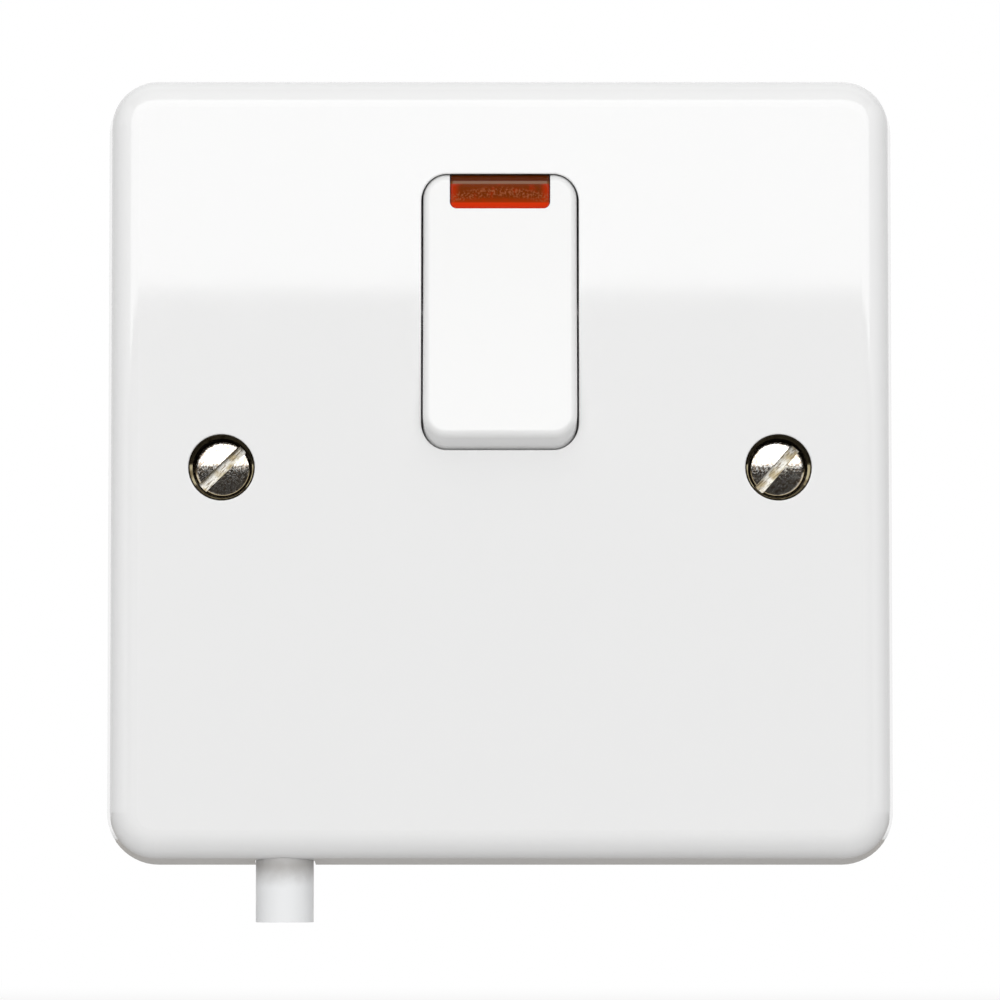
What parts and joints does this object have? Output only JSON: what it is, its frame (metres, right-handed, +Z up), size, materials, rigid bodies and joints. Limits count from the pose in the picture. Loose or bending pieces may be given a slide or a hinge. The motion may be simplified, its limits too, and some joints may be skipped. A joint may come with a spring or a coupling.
{
  "type": "double pole switch",
  "caption": "Square white wall switch that breaks live and neutral together: tall rocker with a red indicator window, slotted fixing screws, terminals behind and a flex outlet below.",
  "frame": {"origin": "centre of the plate's rear rim, on the wall's surface, midway between the fixing screws", "axes": "+X right across the face, +Y into the wall, +Z up; the face looks along -Y"},
  "size_m": [0.086, 0.0348, 0.0922],
  "materials": {
    "plate_moulding": "smooth gloss white moulding",
    "rocker_moulding": "smooth gloss white moulding",
    "lens_plastic": "clear red-orange moulding",
    "base_moulding": "fine matt moulding",
    "bright_steel": "bright plated",
    "eyelet_brass": "plated, dulled",
    "retainer_fibre": "pressed fibre",
    "zinc_steel": "zinc plated",
    "brass_screws": "turned brass",
    "terminal_brass": "extruded brass",
    "strip_brass": "rolled brass",
    "arm_copper": "rolled copper alloy",
    "tip_silver": "satin silver",
    "plunger_plastic": "natural nylon",
    "spring_steel": "drawn wire",
    "lamp_glass": "clear",
    "electrode_metal": "dull",
    "tinned_wire": "tinned",
    "resistor_lacquer": "lacquered",
    "grip_plastic": "fine matt moulding",
    "sheath_plastic": "soft white sheath",
    "brown_insulation": "soft brown",
    "blue_insulation": "soft blue",
    "earth_insulation": "green and yellow striped",
    "copper_strands": "bare copper strands"
  },
  "bodies": {
    "housing": {"front_plate": "plate_moulding", "switch_base": "base_moulding", "terminal_block": "base_moulding", "fixing_screws": "bright_steel", "screw_eyelets": "eyelet_brass", "screw_retainers": "retainer_fibre", "base_screws": "zinc_steel", "cord_grip_screws": "zinc_steel", "supply_terminal_screws": "brass_screws", "load_terminal_screws": "brass_screws", "earth_terminal_screws": "brass_screws", "live_supply_terminal": "terminal_brass", "neutral_supply_terminal": "terminal_brass", "live_load_terminal": "terminal_brass", "neutral_load_terminal": "terminal_brass", "earth_terminal": "terminal_brass", "live_supply_strip": "strip_brass", "neutral_supply_strip": "strip_brass", "live_load_strip": "strip_brass", "neutral_load_strip": "strip_brass", "live_fixed_tip": "tip_silver", "neutral_fixed_tip": "tip_silver", "indicator_lamp": "lamp_glass", "indicator_electrodes": "electrode_metal", "indicator_leads": "tinned_wire", "indicator_resistor": "resistor_lacquer", "cord_grip": "grip_plastic", "flex_sheath": "sheath_plastic", "live_core": "brown_insulation", "neutral_core": "blue_insulation", "earth_core": "earth_insulation", "live_conductor": "copper_strands", "neutral_conductor": "copper_strands", "earth_conductor": "copper_strands"},
    "rocker": {"rocker": "rocker_moulding", "indicator_lens": "lens_plastic", "live_plunger_spring": "spring_steel", "neutral_plunger_spring": "spring_steel"},
    "live_plunger": {"live_plunger": "plunger_plastic"},
    "live_contact": {"live_contact_arm": "arm_copper", "live_moving_tip": "tip_silver"},
    "neutral_plunger": {"neutral_plunger": "plunger_plastic"},
    "neutral_contact": {"neutral_contact_arm": "arm_copper", "neutral_moving_tip": "tip_silver"}
  },
  "joints": [
    {"name": "rocker_rock", "type": "hinge", "parent": "housing", "child": "rocker", "pos_m": [0, -0.0035, 0.0169], "axis": [1, 0, 0], "range_deg": [0, 10]},
    {"name": "live_contact_rock", "type": "hinge", "parent": "housing", "child": "live_contact", "pos_m": [0.0046, 0.009, 0.0169], "axis": [1, 0, 0], "range_deg": [-17, 0]},
    {"name": "live_plunger_slide", "type": "slide", "parent": "rocker", "child": "live_plunger", "axis": [0, -0.9962, 0.0872], "range_m": [0, 0.0008], "stiffness_N_per_m": 200, "springref_m": -0.002, "deforming": ["live_plunger_spring"]},
    {"name": "neutral_contact_rock", "type": "hinge", "parent": "housing", "child": "neutral_contact", "pos_m": [-0.0046, 0.009, 0.0169], "axis": [1, 0, 0], "range_deg": [-17, 0]},
    {"name": "neutral_plunger_slide", "type": "slide", "parent": "rocker", "child": "neutral_plunger", "axis": [0, -0.9962, 0.0872], "range_m": [0, 0.0008], "stiffness_N_per_m": 200, "springref_m": -0.002, "deforming": ["neutral_plunger_spring"]}
  ],
  "couplings": [
    {"joint": "live_contact_rock", "follows": "rocker_rock", "ratio": -1.7},
    {"joint": "neutral_contact_rock", "follows": "rocker_rock", "ratio": -1.7}
  ]
}
